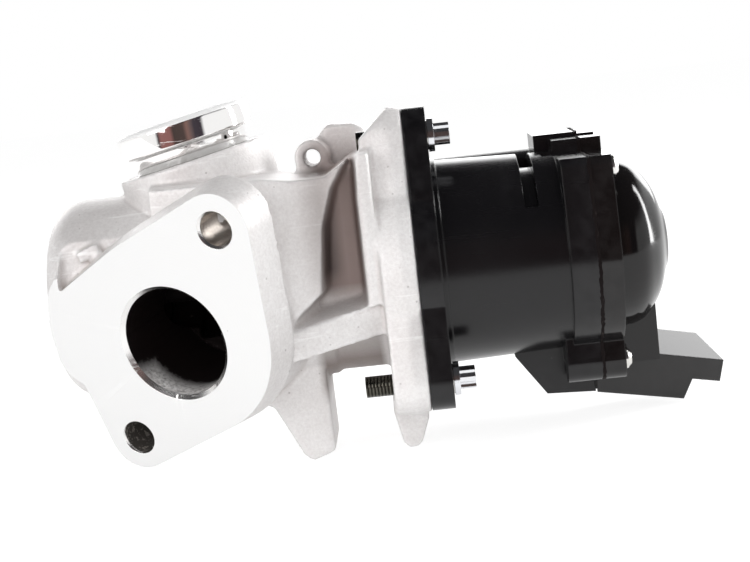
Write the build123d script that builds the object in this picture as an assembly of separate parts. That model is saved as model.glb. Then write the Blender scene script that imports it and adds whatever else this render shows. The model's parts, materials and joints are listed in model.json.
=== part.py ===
from build123d import *
import os
from math import acos, atan2, cos, degrees, pi, radians, sin, sqrt, tan

# Exhaust gas recirculation valve with an electric drive. Millimetres.
#
# Everything is laid out about the stem axis: +X runs along the stem from the
# gas chamber to the drive, X = 0 is the joint between the cast body and the
# black drive housing, and +Z is up. The finished pieces are moved so that the
# origin lies on the inlet bore.

os.makedirs("parts", exist_ok=True)

# ---------------------------------------------------------------- dimensions

# Clearances
slip = 0.05          # radial running clearance of shafts and bores
seat_gap = 0.02      # radial gap of pieces that are pressed or screwed in
loose = 0.35         # clearance between pieces that pass each other
past = 1.0           # how far a cutter reaches past the surface it opens

# Cast body
barrel_r = 24.6      # gas chamber, outside
barrel_end = -88.5
barrel_round = 9.5
pocket_start = 4.0   # from the barrel's end to its cast pocket
pocket_long = 22.5
pocket_floor = 18.5  # distance of the pocket's floor from the stem's axis
bump_along = 8.0     # cast bump on that floor
bump_z = 13.5
bump_lean = 20.0
bump_long = 5.5
bump_high = 3.0
bump_wide = 2.6
neck_r = 23.8        # neck between the chamber and the plate
neck_start = -21.7
recess_mouth = 31.0  # distance of the near recess's mouth from the stem's axis
recess_floor = 14.0
recess_draft = 6.0
recess_lip = 3.0     # what is left of the neck before the plate
plate_back = -8.5    # chamber side of the actuator plate
ridge_x = -3.4       # parting line round the plate's rim
top_boss = 2.2       # height of the boss behind the upper bolt
plate_rim = 0.8      # how far the plate stands out round the drive housing
plate_slope = 4.7    # drop of the plate's top towards the chamber

# Inlet flange: a diamond face with a bore and two bolt holes
inlet_centre = (-57.7, -30.5, -8.3)
inlet_turn = 25.2    # degrees, towards the far end of the chamber
inlet_dip = 11.6     # degrees, downwards
inlet_lean = 34.4    # degrees, of the line through the bolt holes
inlet_r = 13.0
inlet_chamfer = 1.2
inlet_depth = 25.2
stud_hole_up = 32.5  # threaded hole, from the bore's centre
stud_hole_r = 3.9
stud_hole_depth = 17.0
bolt_hole_down = 29.2
bolt_hole_r = 3.6
bolt_hole_depth = 20.0
ear_up_r = 8.3
ear_down_r = 7.8
pad_r = 24.5
pad_height = 9.0
pad_draft = 11.0     # degrees
block_depth = 18.0   # how far the pad's block reaches into the barrel
block_step = 1.5     # step between the pad and its block

# Outlet: a machined ring pressed into a cast plateau
outlet_tilt = 12.1   # degrees from +Z, towards the chamber's end
outlet_centre = (-51.7, 0.0, 32.0)
plateau_r = 18.8
plateau_depth = 26.0
ring_r = 16.4
ring_height = 6.5
ring_bevel = 1.4
groove_r = 14.2
groove_height = 3.9
outlet_bore_r = 11.5
spigot_r = 12.9      # the part that is pressed into the casting
spigot_depth = 5.0

# Gas way and valve
chamber_r = 13.4
chamber_end = -83.5
end_cap_r = 14.4
cap_dish = 0.5
seat_face = -67.0    # where the poppet closes
seat_height = 4.0
seat_outer_r = 11.5
seat_bore_r = 8.8
seat_chamfer = 0.8
throat_r = 9.5
mix_start = -55.0
mix_end = -32.0
mix_r = 12.5
duct_r = 7.4
duct_lean = 3.0      # how far the duct's head lies from the outlet's axis
duct_foot_z = 6.0
bowl_depth = 5.0
poppet_r = 10.4
poppet_thick = 3.0
poppet_edge = 1.2
poppet_gap = 0.05    # between the closed poppet and its seat
stem_r = 3.0
stem_end = 34.0
stem_chamfer = 0.6
lift = 6.0           # travel of the valve

# Stem guide and seal
bush_r = 5.5
bush_start = -34.0
bush_end = -7.5
seal_r = 8.0
seal_depth = 6.0
seal_wall = 1.5
seal_base = 2.0

# Drive housing
flange_thick = 5.5
flange_r = 27.6
flange_web_r = 17.1  # where the flange's ears spring from
bolt_circle_r = 33.5
bolt_turn = 12.0     # degrees
ear_r = 7.0
case_r = 25.0        # round tube at the flange
case_r_end = 24.0    # and at the gear case
case_wall = 3.8
notch_start = 26.5
notch_width = 3.2
notch_r = 20.8
notch_floor = 13.0
end_wall = 33.9      # inside face of the wall that carries the guide sleeve
gear_floor = 36.8    # drive side of that wall
case_start = 35.4    # left edge of the gear case
boss_start = 33.4    # left edge of its screw bosses
seam_x = 42.0
cover_face = 47.4
cover_floor = 45.1
case_top = 23.4
case_edge_r = 25.4
idler_case_r = 12.4
box_start = 31.5
box_near = 4.0
box_far = 22.0
box_top = 28.0
box_step = 0.5       # the cover's share of the box lies this much lower
skirt_end = 40.4
skirt_bottom = -35.6

# Motor beside the stem
motor_y = 25.0
motor_z = 11.0
motor_r = 10.4
motor_start = 4.0
motor_end = 31.6
motor_skin = 0.8
motor_case_r = 12.9
motor_nose_r = 3.5
motor_nose = 1.6
motor_shaft_r = 1.2
magnet_thick = 1.8
air_gap = 0.4
brush_cap_thick = 2.5

# Gears
gear_module = 0.8
pressure_angle = 20.0
drive_teeth = 38
small_teeth = 12
big_teeth = 24
pinion_teeth = 9
tooth_play = 0.10    # taken off each flank
drive_gear_start = 37.4
drive_gear_wide = 3.7
big_gear_start = 41.6
big_gear_wide = 2.8
pinion_start = 41.3
pinion_wide = 3.3
idler_pin_r = 1.8
idler_pin_seat = 1.2

# Room for the gears, and the seal round it
gear_room_r = 18.0
idler_room_r = 10.7
motor_room_r = 6.0
cover_seal_in = 0.5
cover_seal_wide = 0.8
seal_thick = 1.0
flange_seal_in = 0.9
flange_seal_wide = 1.1

# Cam barrel, guide sleeve and follower pin
follower_x = 31.0
follower_r = 1.5
cam_angle = 100.0    # degrees of turn for the full lift
cam_start = 21.0
cam_outer_r = 9.0
cam_inner_r = 5.0
cam_floor = 2.0      # thickness of the barrel's closed end
cam_slot = 3.8
sleeve_outer_r = 12.0
sleeve_start = 20.5
journal_r = 3.0
journal_proud = 3.0  # how far the journal stands out of its bush
journal_bush_r = 5.2
bush_long = 5.0
tube_r = 7.4
tube_gap = 3.3       # from the drive gear to the sensor's tube
tube_mouth = drive_gear_start + drive_gear_wide + tube_gap
journal_end = tube_mouth + bush_long + journal_proud
magnet_long = 2.0
magnet_rim = 0.6
sensor_gap = 0.7
chip_thick = 0.8
board_thick = 1.2

# Return spring and its retainer
spring_r = 10.5
wire_r = 1.1
spring_turns = 4.5
spring_start = 0.3   # gap under the spring's first and last turn
retainer_x = 17.0
retainer_thick = 1.6
retainer_r = 12.6
ledge = 1.6          # step that centres the spring
clip_r = 4.9
clip_draft = 0.8
clip_long = 4.8
clip_sunk = 1.2
clip_split = 0.8
clip_groove = 0.5

# Dome
dome_r = 20.4
dome_tip = 61.0
dome_wall = 2.4
dome_curve = (       # shares of the dome's height and radius, from its foot to its tip
    (0.0, 1.0), (0.26, 0.99), (0.45, 0.94), (0.64, 0.81), (0.81, 0.63), (0.94, 0.38), (1.0, 0.0))

# Connector
plug_corner = (39.2, -5.0, -35.4)
plug_wide = 13.7
plug_thick = 12.1
plug_long = 35.5
plug_hood = 7.0
hood_thick = 6.2
plug_wall = 1.6
plug_deep = 12.0
pin_count = 5
pin_long = 7.5
pin_sunk = 3.0
pin_wide = 0.6
pin_thick = 1.0
bracket_near = -5.2
bracket_far = 8.0
bracket_end = 56.6
bracket_top = -14.0
bracket_bottom = -29.0

# Fasteners
bolt_shank_r = 2.5
bolt_tips = (-11.3, -15.0, -13.0)
bolt_flange_r = 4.0
bolt_flange_thick = 1.4
bolt_head_r = 2.7
bolt_root_r = 2.1
bolt_head_long = 5.1
sleeve_wall = 1.0
sleeve_proud = 0.25  # how far the sleeves stand out of the flange
screw_r = 1.4
screw_head_r = 2.7
screw_head_thick = 1.7
screw_crown = 0.9
screw_taper = 0.15
screw_tip = 36.0
screw_spots = ((-16.8, 20.4), (-9.3, -27.0), (14.0, -24.0), (38.0, 6.0), (26.5, 22.5))
screw_boss_r = 4.6
boss_root_r = 6.1


# ------------------------------------------------------------------ helpers

def along_x(x):
    """Sketch plane across the stem at x: its own x is +Y and its own y is +Z."""
    return Plane(origin=(x, 0, 0), x_dir=(0, 1, 0), z_dir=(1, 0, 0))


def prism(x0, x1, outline):
    """Outline across the stem, extruded from x0 to x1."""
    return extrude(along_x(x0) * outline, x1 - x0)


def rod(x0, x1, r, y=0.0, z=0.0):
    """Round bar in the stem's direction from x0 to x1."""
    return prism(x0, x1, Pos(y, z) * Circle(r))


def tube(x0, x1, r_out, r_in, y=0.0, z=0.0):
    return rod(x0, x1, r_out, y, z) - rod(x0 - past, x1 + past, r_in, y, z)


def turned(*points):
    """Solid of revolution about the stem axis from (x, radius) corners."""
    corners = [(x, 0, r) for x, r in points]
    return revolve(make_face(Polyline(*corners, close=True)), Axis.X)


def hull(*circles):
    """Outline stretched round (y, z, radius) circles."""
    rims = [(Pos(y, z) * Circle(r)).edge() for y, z, r in circles]
    return make_hull(rims)


def side_profile(y0, y1, *points):
    """Prism along +Y with (x, z) corners."""
    corners = [(x, y0, z) for x, z in points]
    return extrude(make_face(Polyline(*corners, close=True)), y1 - y0, dir=(0, 1, 0))


def plan_profile(z0, z1, *points):
    """Prism along +Z with (x, y) corners."""
    corners = [(x, y, z0) for x, y in points]
    return extrude(make_face(Polyline(*corners, close=True)), z1 - z0, dir=(0, 0, 1))


def corner_box(x, y, z):
    """Box with its corner at the origin."""
    return Box(x, y, z, align=(Align.MIN, Align.MIN, Align.MIN))


# Work planes of the inlet and the outlet
turn = radians(inlet_turn)
dip = radians(inlet_dip)
inlet_normal = Vector(-sin(turn) * cos(dip), -cos(turn) * cos(dip), -sin(dip))
face_up = (Vector(0, 0, 1) - inlet_normal * inlet_normal.Z).normalized()
ears_up = face_up.rotate(Axis((0, 0, 0), inlet_normal), -inlet_lean)
inlet_plane = Plane(origin=inlet_centre, x_dir=ears_up.cross(inlet_normal), z_dir=inlet_normal)

outlet_axis = Vector(-sin(radians(outlet_tilt)), 0, cos(radians(outlet_tilt)))
outlet_plane = Plane(origin=outlet_centre, x_dir=(0, 1, 0), z_dir=outlet_axis)

# Frame of the connector: x along the plug, y across it, z up through it
plug_along = Vector(0.854, 0.454, -0.254).normalized()
plug_lean = Vector(0.399, -0.257, 0.88)
plug_up = (plug_lean - plug_along * plug_lean.dot(plug_along)).normalized()
plug_plane = Plane(origin=plug_corner, x_dir=plug_along, z_dir=plug_up)

# Three bolts on a circle; angles measured from -Y towards +Z
bolt_spots = []
for step in (60, -60, 180):
    bolt_angle = radians(bolt_turn + step)
    bolt_spots.append((-bolt_circle_r * cos(bolt_angle), bolt_circle_r * sin(bolt_angle)))

# Gear centres: the idler meshes with the drive gear and with the pinion
motor_centre = Vector(motor_y, motor_z)
drive_reach = gear_module * (drive_teeth + small_teeth) / 2
motor_reach = gear_module * (big_teeth + pinion_teeth) / 2
span = motor_centre.length
along = (drive_reach ** 2 - motor_reach ** 2 + span ** 2) / (2 * span)
aside = sqrt(drive_reach ** 2 - along ** 2)
to_motor = motor_centre.normalized()
idler_y = to_motor.X * along - to_motor.Y * aside
idler_z = to_motor.Y * along + to_motor.X * aside
to_idler = degrees(atan2(idler_z, idler_y))
idler_to_motor = degrees(atan2(motor_z - idler_z, motor_y - idler_y))


def save(node, solids):
    """Move solids so that the inlet bore's mouth is the origin, and write them."""
    origin = inlet_plane.from_local_coords((0, 0, -inlet_chamfer))
    shift = Pos(-origin.X, -origin.Y, -origin.Z)
    moved = Compound([shift * solid for solid in solids])
    moved.label = node
    export_step(moved, f"parts/{node}.step")


# ---------------------------------------------------------------- cast body

def motor_side(grow=0.0):
    """The flange's bulge round the motor."""
    return hull((motor_y, motor_z, motor_case_r + 1.2 + grow), (0, 0, flange_r * 0.7))


def flange_outline(grow=0.0):
    """Three ears, the round middle and the motor's side."""
    outline = Circle(flange_r + grow) + motor_side(grow)
    for y, z in bolt_spots:
        outline += hull((y, z, ear_r + grow), (y * 0.45, z * 0.45, flange_web_r))
    return outline


def diamond(grow=0.0):
    return hull(
        (0, stud_hole_up, ear_up_r + grow),
        (0, 2.0, pad_r + grow),
        (0, -bolt_hole_down, ear_down_r + grow),
        (-26.3, -6.0, 4.5 + grow),
        (-20.0, -15.5, 5.0 + grow),
    )


def inlet_pad():
    """Diamond pad with drafted sides, and the block that carries it."""
    flare = pad_height * tan(radians(pad_draft))
    back = inlet_plane.offset(-pad_height)
    pad = loft([inlet_plane * diamond(), back * diamond(flare)])
    block_r = pad_r + flare - block_step
    block = hull((0, 14.0, 15.0), (0, 0, block_r), (-14.0, -4.0, 14.0), (4.0, -12.0, 14.0))
    return pad + extrude(back * block, -block_depth)


def shoulder():
    """Cast flank from the pad to the recess before the plate, over the web."""
    flank = plan_profile(
        -14.0, 31.0,
        (-62, 0), (-62, -6), (-60, -24), (-40, -29.5), (-31, -28.2), (plate_back, -25.5), (plate_back, 0))
    roof = side_profile(
        -2 * barrel_r, barrel_r,
        (-64, -14), (-64, 27), (-34, 27), (-27, 25.8), (-19, 25.8), (-13, 29.5), (plate_back, 30.5),
        (plate_back, -5.0), (-24, -7.5), (-24, -14))
    return flank & roof


def recess():
    """Drafted pocket between the flank, the web and the plate."""
    end = plate_back - recess_lip
    corners = [
        (-33.0, -9.2), (-23.0, -0.7), (-21.3, 14.5), (-18.5, 23.2), (-14.9, 29.0), (-14.0, 40.0),
        (end + 1.2, 40.0), (end, 20.0), (end, -5.75)]
    mouth = Plane(origin=(0, -recess_mouth, 0), x_dir=(1, 0, 0), z_dir=(0, 1, 0))
    outline = make_face(Polyline(*[(x, -z) for x, z in corners], close=True))
    return extrude(mouth * outline, recess_mouth - recess_floor, taper=recess_draft)


def web():
    """Flat web from the pad to the actuator plate, below the stem."""
    profile = side_profile(-34, 4, (-40, -17.2), (-7, -12.2), (-7, -5.0), (-40, -10.0))
    plan = plan_profile(-20, 0, (-40, 4), (-40, -31), (-32, -31), (-7, -22.5), (-7, 4))
    return profile & plan


def hanging_ears():
    """Two ears under the body, one from the chamber and one from the plate."""
    chamber_ear = side_profile(
        -14, 8,
        (-41, -16), (-24.6, -16), (-24.3, -41.2), (-26, -42.1), (-29.6, -43.3), (-30.8, -42.9),
        (-32.2, -41.6), (-38.1, -29.3), (-41, -28.3))
    plate_ear = side_profile(
        -12, 10,
        (-8.5, -16), (-1, -16), (-1, -36), (-3.2, -41.8), (-4.4, -42.8), (-6.4, -43.1),
        (-7.9, -41.6), (-9.5, -33.8))
    return [chamber_ear, plate_ear]


def actuator_plate():
    """Plate with a parting ridge round its rim and a sloping top."""
    ridge = along_x(ridge_x) * flange_outline(plate_rim)
    front_draft = degrees(atan2(plate_rim, -ridge_x))
    back_draft = degrees(atan2(plate_rim, ridge_x - plate_back))
    plate = extrude(ridge, -ridge_x, taper=front_draft)
    plate += extrude(ridge, plate_back - ridge_x, taper=back_draft)
    y, z = max(bolt_spots, key=lambda spot: spot[1])
    plate += rod(plate_back - top_boss, plate_back + past, ear_r, y, z)
    top = bolt_circle_r + ear_r
    end = plate_back - top_boss - past
    drop = plate_slope * (ridge_x - end) / (ridge_x - plate_back)
    slope = side_profile(
        -4 * case_r, 4 * case_r,
        (ridge_x, top - 1.0), (end, top - 1.0 - drop), (end, top + 5), (ridge_x, top + 5))
    return plate - slope


def top_lug():
    """Eye with a hole across the body, and the block behind it."""
    eye_x = -22.5
    eye_z = 29.2
    eye = Pos(eye_x, 0, eye_z) * Rot(90, 0, 0) * Cylinder(4.3, 12)
    hole = Pos(eye_x, 0, eye_z) * Rot(90, 0, 0) * Cylinder(2.1, 12 + 2 * past)
    foot = side_profile(-6, 6, (-27.5, 18), (-17.5, 18), (-18.6, 30), (-26.4, 30))
    block = side_profile(2, 12, (-21.5, 15), (-7, 15), (-9.5, 34.5), (-12, 36), (-18.5, 36.4), (-20.5, 34.5))
    return eye + foot + block - hole


def stem_way():
    """Chamber, seat recess, throat, mixing chamber and guide, along the stem."""
    return turned(
        (barrel_end - past, 0), (barrel_end - past, end_cap_r), (chamber_end, end_cap_r),
        (chamber_end, chamber_r), (seat_face, chamber_r), (seat_face, seat_outer_r),
        (seat_face + seat_height, seat_outer_r), (seat_face + seat_height, throat_r),
        (mix_start, throat_r), (mix_start, mix_r), (mix_end, mix_r), (mix_end, bush_r),
        (bush_end, bush_r), (bush_end, seal_r), (past, seal_r), (past, 0))


def gas_way():
    """Everything that is cut out of the casting."""
    inlet = extrude(inlet_plane * Circle(inlet_r), -inlet_depth)
    mouth = inlet_plane.offset(-inlet_chamfer)
    funnel = loft([inlet_plane * Circle(inlet_r + inlet_chamfer), mouth * Circle(inlet_r)])
    stud_hole = extrude(inlet_plane * Pos(0, stud_hole_up) * Circle(stud_hole_r), -stud_hole_depth)
    bolt_hole = extrude(inlet_plane * Pos(0, -bolt_hole_down) * Circle(bolt_hole_r), -bolt_hole_depth)
    well = extrude(outlet_plane * Circle(spigot_r), -spigot_depth)
    well_floor = outlet_plane.offset(-spigot_depth)
    bowl_floor = outlet_plane.offset(-spigot_depth - bowl_depth)
    bowl = loft([well_floor * Circle(outlet_bore_r), bowl_floor * Pos(0, duct_lean) * Circle(duct_r)])
    foot = Vector((chamber_end + seat_face) / 2, 0, duct_foot_z)
    head = bowl_floor.from_local_coords((0, duct_lean, past))
    duct = extrude(Plane(origin=foot, z_dir=head - foot) * Circle(duct_r), (head - foot).length)
    back = plate_back - top_boss - past
    bolts = [rod(back, past, bolt_shank_r + slip, y, z) for y, z in bolt_spots]
    return [inlet, funnel, stud_hole, bolt_hole, stem_way(), well, bowl, duct] + bolts


def chamber_barrel():
    """Turned barrel of the casting, with its pocket in the near shoulder."""
    barrel = fillet(rod(barrel_end, neck_start, barrel_r).edges().sort_by(Axis.X)[0], barrel_round)
    start = barrel_end + pocket_start
    pocket = side_profile(
        -barrel_r - past, -pocket_floor,
        (start, 4), (start + 1.5, 16), (start + 8.5, 21.5), (start + pocket_long, 19), (start + 11.5, 6))
    bump = Pos(start + bump_along, -pocket_floor - 0.3, bump_z) * Rot(0, -bump_lean, 0)
    bump *= Box(bump_long, bump_high, bump_wide)
    in_front = extrude(inlet_plane * Rectangle(4 * barrel_r, 4 * barrel_r), barrel_r)
    return barrel - pocket + bump - in_front


def valve_body():
    body = chamber_barrel() + rod(neck_start - past, plate_back + past, neck_r)
    body += actuator_plate()
    body += web()
    for ear in hanging_ears():
        body += ear
    body += shoulder()
    body -= recess()
    body += extrude(outlet_plane * Circle(plateau_r), -plateau_depth)
    body += top_lug()
    body += inlet_pad()
    for hollow in gas_way():
        body -= hollow
    return body


def outlet_spigot():
    """Grooved ring with a pressed-in foot."""
    top = groove_height + ring_height
    profile = [
        (outlet_bore_r, -spigot_depth), (spigot_r - seat_gap, -spigot_depth), (spigot_r - seat_gap, 0),
        (groove_r, 0), (groove_r, groove_height), (ring_r - 0.4, groove_height),
        (ring_r, groove_height + 0.5), (ring_r, top - ring_bevel), (ring_r - ring_bevel, top),
        (outlet_bore_r, top)]
    corners = [(r, 0, h) for r, h in profile]
    ring = revolve(make_face(Polyline(*corners, close=True)), Axis.Z)
    return outlet_plane.location * ring


def end_cap():
    return turned(
        (barrel_end + cap_dish, 0), (barrel_end + cap_dish, end_cap_r - 1.5), (barrel_end, end_cap_r - 1.0),
        (barrel_end, end_cap_r - seat_gap), (chamber_end, end_cap_r - seat_gap), (chamber_end, 0))


def valve_seat():
    back = seat_face + seat_height
    return turned(
        (seat_face, seat_bore_r + seat_chamfer), (seat_face, seat_outer_r - seat_gap),
        (back, seat_outer_r - seat_gap), (back, seat_bore_r), (seat_face + seat_chamfer, seat_bore_r))


def stem_bush():
    return tube(bush_start, bush_end, bush_r - seat_gap, stem_r + slip)


def stem_seal():
    end = bush_end + seal_depth
    base = bush_end + seal_base
    lip = stem_r + slip
    return turned(
        (bush_end, lip), (bush_end, seal_r - seat_gap), (end, seal_r - seat_gap), (end, seal_r - seal_wall),
        (base, seal_r - seal_wall - 1.0), (base, lip + 1.1), (end - 1.0, lip + 0.4), (end - 1.6, lip))


# -------------------------------------------------------------- valve pieces

def pin_along_y(r):
    return Pos(follower_x, 0, 0) * Rot(90, 0, 0) * Cylinder(r, 2 * sleeve_outer_r)


def poppet():
    """Valve disc and stem, with the collet's groove and the cross pin's hole."""
    face = seat_face - poppet_gap
    groove = retainer_x + retainer_thick
    valve = turned(
        (face - poppet_thick, 0), (face - poppet_thick, poppet_r - 1.6), (face - poppet_edge, poppet_r),
        (face, poppet_r), (face, seat_bore_r - 0.6), (seat_face + 2.2, stem_r + 1.0),
        (seat_face + 5.0, stem_r), (stem_end - stem_chamfer, stem_r), (stem_end, stem_r - stem_chamfer),
        (stem_end, 0))
    valve -= tube(groove + 0.5, groove + 1.9, stem_r + past, stem_r - clip_groove)
    return valve - pin_along_y(follower_r + seat_gap)


def follower_pin():
    return pin_along_y(follower_r)


def retainer_clip():
    """Split collet: two halves that close on the stem's groove."""
    start = retainer_x - clip_sunk
    bore = stem_r + seat_gap
    cone = turned(
        (start, bore), (start, clip_r - clip_draft), (start + clip_long - clip_draft, clip_r),
        (start + clip_long, clip_r), (start + clip_long, bore))
    groove = retainer_x + retainer_thick
    rib = tube(groove + 0.7, groove + 1.7, bore + 0.6, stem_r - clip_groove + 0.1)
    split = Pos(start, 0, 0) * Box(4 * clip_long, clip_split, 4 * clip_r)
    return cone + rib - split


def spring_retainer():
    """Dished washer: its cone sits on the collet, its rim on the spring."""
    start = retainer_x - clip_sunk
    cone_end = start + clip_long - clip_draft
    back = retainer_x + retainer_thick
    inside = spring_r - wire_r - loose
    plate = turned(
        (start, clip_r - clip_draft + 0.8), (retainer_x - ledge, clip_r + 1.4), (retainer_x - ledge, inside - 0.8),
        (retainer_x, inside), (retainer_x, retainer_r), (back, retainer_r), (back, clip_r - 1.0),
        (start, 0.5))
    cone = turned(
        (start - past, 0), (start - past, clip_r - clip_draft + seat_gap), (start, clip_r - clip_draft + seat_gap),
        (cone_end, clip_r + seat_gap), (cone_end, 0))
    return plate - cone


def return_spring():
    wire_span = retainer_x - 2 * spring_start - 2 * wire_r
    coil = Helix(pitch=wire_span / spring_turns, height=wire_span, radius=spring_r)
    start = Plane(origin=coil @ 0, z_dir=coil % 0)
    wire = sweep(start * Circle(wire_r), path=coil, is_frenet=True)
    return along_x(spring_start + wire_r).location * wire


# ------------------------------------------------------------- drive housing

def gear_room(grow=0.0):
    """Outline of the room for the gears, seen along the stem."""
    return hull(
        (0, 0, gear_room_r + grow),
        (idler_y, idler_z, idler_room_r + grow),
        (motor_y, motor_z, motor_room_r + grow))


def case_outline(grow=0.0):
    """Gear case seen along the stem, without its lower screw bosses."""
    corner_y, corner_z = screw_spots[0]
    return hull(
        (0, 0, case_edge_r + grow),
        (corner_y, corner_z, screw_boss_r + grow),
        (idler_y, idler_z, idler_case_r + grow),
        (motor_y, motor_z, motor_case_r + grow))


def boss_outline(grow=0.0):
    bosses = Sketch()
    for y, z in screw_spots[1:]:
        bosses += hull((y, z, screw_boss_r + grow), (y * 0.72, z * 0.72, boss_root_r + grow))
    return bosses


def near_top_cut():
    """Flat top of the gear case in front of the box."""
    return side_profile(
        -2 * case_r, -1.0,
        (boss_start - past, case_top), (cover_face + past, case_top),
        (cover_face + past, case_top + 20), (boss_start - past, case_top + 20))


def notch():
    """Slot across the top of the round tube, in front of the gear case."""
    ring = tube(notch_start, notch_start + notch_width, case_r + 4, notch_r)
    above = side_profile(
        -40, 9,
        (notch_start - past, notch_floor), (case_start, notch_floor),
        (case_start, case_r + 10), (notch_start - past, case_r + 10))
    return ring & above


def housing_outside():
    body = prism(0, flange_thick, flange_outline())
    body += turned(
        (past, 0), (past, case_r), (flange_thick, case_r), (gear_floor, case_r_end), (gear_floor, 0))
    body += rod(past, flange_thick + 1.2, case_r + 0.5)
    body += rod(past, gear_floor, motor_case_r, motor_y, motor_z)
    body += prism(case_start, seam_x, case_outline())
    body += prism(boss_start, seam_x, boss_outline())
    body -= near_top_cut()
    body += side_profile(
        box_near, box_far,
        (box_start, case_top - 5), (box_start, box_top), (seam_x, box_top), (seam_x, case_top - 5))
    body += side_profile(
        -4, 12,
        (20.5, -18), (21.5, skirt_bottom + 10.6), (28.5, skirt_bottom + 0.6), (skirt_end, skirt_bottom),
        (skirt_end, -18))
    return body - notch()


def flange_seal_ring(inset):
    return Circle(flange_r - inset) + motor_side(-inset)


def flange_seal():
    ring = flange_seal_ring(flange_seal_in) - flange_seal_ring(flange_seal_in + flange_seal_wide)
    return prism(0, seal_thick, ring)


def cover_seal():
    ring = gear_room(cover_seal_in + cover_seal_wide) - gear_room(cover_seal_in)
    return prism(seam_x - seal_thick, seam_x, ring)


def actuator_housing():
    body = housing_outside()
    inside = turned(
        (-past, 0), (-past, case_r - case_wall), (end_wall, case_r_end - case_wall), (end_wall, 0))
    body -= inside - rod(-2 * past, end_wall + past, motor_case_r, motor_y, motor_z)
    body -= rod(-past, motor_end, motor_r + seat_gap, motor_y, motor_z)
    body -= rod(motor_end - past, motor_end + motor_nose, motor_nose_r + seat_gap, motor_y, motor_z)
    body -= rod(motor_end, gear_floor + past, motor_shaft_r + loose, motor_y, motor_z)
    body -= prism(gear_floor, seam_x + past, gear_room())
    body -= rod(end_wall - past, gear_floor + past, sleeve_outer_r + seat_gap)
    body -= rod(gear_floor - 2 * idler_pin_seat, gear_floor + past, idler_pin_r + seat_gap, idler_y, idler_z)
    body -= cover_seal()
    body -= flange_seal()
    for y, z in bolt_spots:
        body -= rod(-past, flange_thick + past, bolt_shank_r + sleeve_wall + seat_gap, y, z)
    for y, z in screw_spots:
        body -= rod(screw_tip, seam_x + past, screw_r + slip, y, z)
    return body


def bolt_sleeves():
    long = flange_thick + sleeve_proud
    return [tube(0, long, bolt_shank_r + sleeve_wall, bolt_shank_r + slip, y, z) for y, z in bolt_spots]


def guide_sleeve():
    """Fixed sleeve with two straight slots that keep the pin from turning."""
    shell = tube(sleeve_start, gear_floor, sleeve_outer_r, cam_outer_r + slip)
    slot_end = follower_x + follower_r + loose
    slot_long = slot_end - sleeve_start + past
    slot = Box(slot_long, 4 * sleeve_outer_r, 2 * (follower_r + loose))
    return shell - Pos(slot_end - slot_long / 2, 0, 0) * slot


# --------------------------------------------------------------------- gears

def involute(angle):
    return tan(angle) - angle


def gear_outline(teeth, turned_by):
    """Involute gear; turned_by is where the middle of one tooth points, in degrees."""
    pitch_r = gear_module * teeth / 2
    pressure = radians(pressure_angle)
    base_r = pitch_r * cos(pressure)
    tip_r = pitch_r + 0.95 * gear_module
    root_r = pitch_r - 1.25 * gear_module
    half_tooth = pi / (2 * teeth) - tooth_play / pitch_r
    flank = []
    for r in (root_r, pitch_r, (pitch_r + tip_r) / 2, tip_r):
        rolled = acos(min(1.0, base_r / r))
        flank.append((r, half_tooth + involute(pressure) - involute(rolled)))
    corners = []
    for tooth in range(teeth):
        middle = radians(turned_by) + 2 * pi * tooth / teeth
        corners += [(r * cos(middle - a), r * sin(middle - a)) for r, a in flank]
        corners += [(r * cos(middle + a), r * sin(middle + a)) for r, a in reversed(flank)]
    return make_face(Polyline(*corners, close=True))


def drive_gear():
    """Gear with a turned recess in its drive side, pressed on the barrel."""
    end = drive_gear_start + drive_gear_wide
    wheel = prism(drive_gear_start, end, gear_outline(drive_teeth, to_idler))
    wheel -= tube(end - 1.2, end + past, gear_module * drive_teeth / 2 - 2.6, cam_outer_r)
    return wheel - rod(drive_gear_start - past, end + past, cam_inner_r)


def slot_cutter():
    """Helical slot of the barrel from its first to its last turn, about +Z."""
    path = Helix(pitch=lift * 360 / cam_angle, height=lift, radius=(cam_inner_r + cam_outer_r) / 2)
    section = Plane(origin=path @ 0, x_dir=(1, 0, 0), z_dir=path % 0)
    cutter = [sweep(section * Rectangle(2 * (cam_outer_r - cam_inner_r), cam_slot), path=path, is_frenet=True)]
    end = Rot(0, 90, 0) * Cylinder(cam_slot / 2, cam_outer_r + past, align=(Align.CENTER, Align.CENTER, Align.MIN))
    return cutter + [end, Pos(0, 0, lift) * Rot(0, 0, cam_angle) * end]


def cam_barrel():
    """Barrel with two helical slots, and the journal that runs in the cover."""
    hub_r = cam_inner_r - seat_gap
    gear_end = drive_gear_start + drive_gear_wide
    barrel = turned(
        (cam_start, cam_inner_r), (cam_start, cam_outer_r), (drive_gear_start, cam_outer_r),
        (drive_gear_start, hub_r), (gear_end, hub_r), (gear_end, journal_r), (journal_end, journal_r),
        (journal_end, 0), (gear_floor - cam_floor, 0), (gear_floor - cam_floor, cam_inner_r))
    for side in (0, 180):
        start = radians(side - cam_angle)
        place = Plane(origin=(follower_x - lift, 0, 0), x_dir=(0, cos(start), sin(start)), z_dir=(1, 0, 0))
        for piece in slot_cutter():
            barrel -= place.location * piece
    return barrel


def sensor_magnet():
    return rod(journal_end, journal_end + magnet_long, journal_r + magnet_rim)


def position_sensor():
    """Round board under the dome with its chip in front of the magnet."""
    chip_x = journal_end + magnet_long + sensor_gap
    board = rod(chip_x + chip_thick, chip_x + chip_thick + board_thick, journal_bush_r - seat_gap)
    return board + Pos(chip_x + chip_thick / 2, 0, 0) * Box(chip_thick, 4, 5)


def shaft_bush():
    return tube(tube_mouth + past, tube_mouth + past + bush_long, journal_bush_r, journal_r + slip)


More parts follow.
